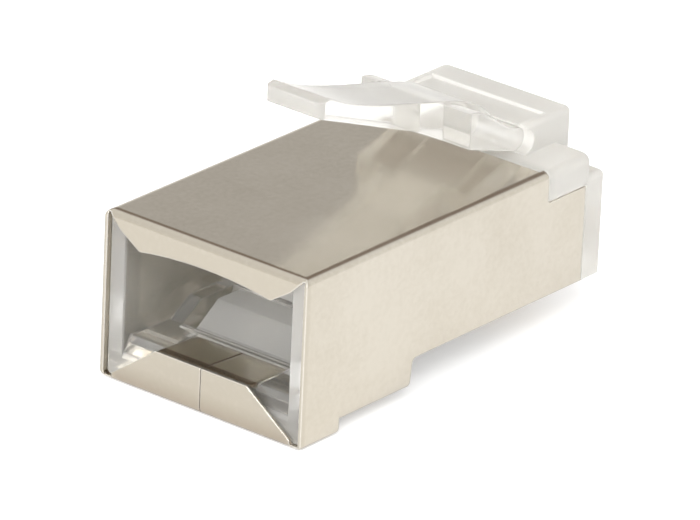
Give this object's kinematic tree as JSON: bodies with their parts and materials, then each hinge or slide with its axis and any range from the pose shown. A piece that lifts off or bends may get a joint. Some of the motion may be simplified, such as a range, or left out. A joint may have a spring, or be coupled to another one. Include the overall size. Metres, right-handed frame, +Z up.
{
  "type": "rj45 modular plug",
  "caption": "Shielded modular plug for round data cable: clear housing in a folded metal shell, sprung latch lever, strain relief bar and gold-plated contacts not yet crimped.",
  "frame": {"origin": "middle of the plug's bounding box, at the base that the shield's skirt rests on", "axes": "+X from the cable entry towards the nose, +Y across the plug, +Z up towards the latch side"},
  "size_m": [0.0216, 0.0116, 0.0138],
  "materials": {
    "nickel_plated_sheet": "nickel-plated, satin to semi-bright",
    "clear_polycarbonate": "clear moulded polycarbonate, glossy",
    "gold_plated_contact": "gold-plated phosphor bronze"
  },
  "bodies": {
    "plug_body": {"shield": "nickel_plated_sheet", "housing": "clear_polycarbonate"},
    "latch_lever": {"latch": "clear_polycarbonate"},
    "relief_bar": {"strain_relief_bar": "clear_polycarbonate"},
    "contact_1": {"contact_1": "gold_plated_contact"},
    "contact_2": {"contact_2": "gold_plated_contact"},
    "contact_3": {"contact_3": "gold_plated_contact"},
    "contact_4": {"contact_4": "gold_plated_contact"},
    "contact_5": {"contact_5": "gold_plated_contact"},
    "contact_6": {"contact_6": "gold_plated_contact"},
    "contact_7": {"contact_7": "gold_plated_contact"},
    "contact_8": {"contact_8": "gold_plated_contact"}
  },
  "joints": [
    {"name": "latch_press", "type": "hinge", "parent": "plug_body", "child": "latch_lever", "pos_m": [0.00731, 0, 0.00891], "axis": [0, -1, 0], "range_deg": [0, 15], "stiffness_Nm_per_rad": 0.2},
    {"name": "strain_relief_crimp", "type": "hinge", "parent": "plug_body", "child": "relief_bar", "pos_m": [-0.00719, 0, 0.00178], "axis": [0, -1, 0], "range_deg": [0, 22]},
    {"name": "contact_1_crimp", "type": "slide", "parent": "plug_body", "child": "contact_1", "axis": [0, 0, 1], "range_m": [0, 0.0009]},
    {"name": "contact_2_crimp", "type": "slide", "parent": "plug_body", "child": "contact_2", "axis": [0, 0, 1], "range_m": [0, 0.0009]},
    {"name": "contact_3_crimp", "type": "slide", "parent": "plug_body", "child": "contact_3", "axis": [0, 0, 1], "range_m": [0, 0.0009]},
    {"name": "contact_4_crimp", "type": "slide", "parent": "plug_body", "child": "contact_4", "axis": [0, 0, 1], "range_m": [0, 0.0009]},
    {"name": "contact_5_crimp", "type": "slide", "parent": "plug_body", "child": "contact_5", "axis": [0, 0, 1], "range_m": [0, 0.0009]},
    {"name": "contact_6_crimp", "type": "slide", "parent": "plug_body", "child": "contact_6", "axis": [0, 0, 1], "range_m": [0, 0.0009]},
    {"name": "contact_7_crimp", "type": "slide", "parent": "plug_body", "child": "contact_7", "axis": [0, 0, 1], "range_m": [0, 0.0009]},
    {"name": "contact_8_crimp", "type": "slide", "parent": "plug_body", "child": "contact_8", "axis": [0, 0, 1], "range_m": [0, 0.0009]}
  ]
}
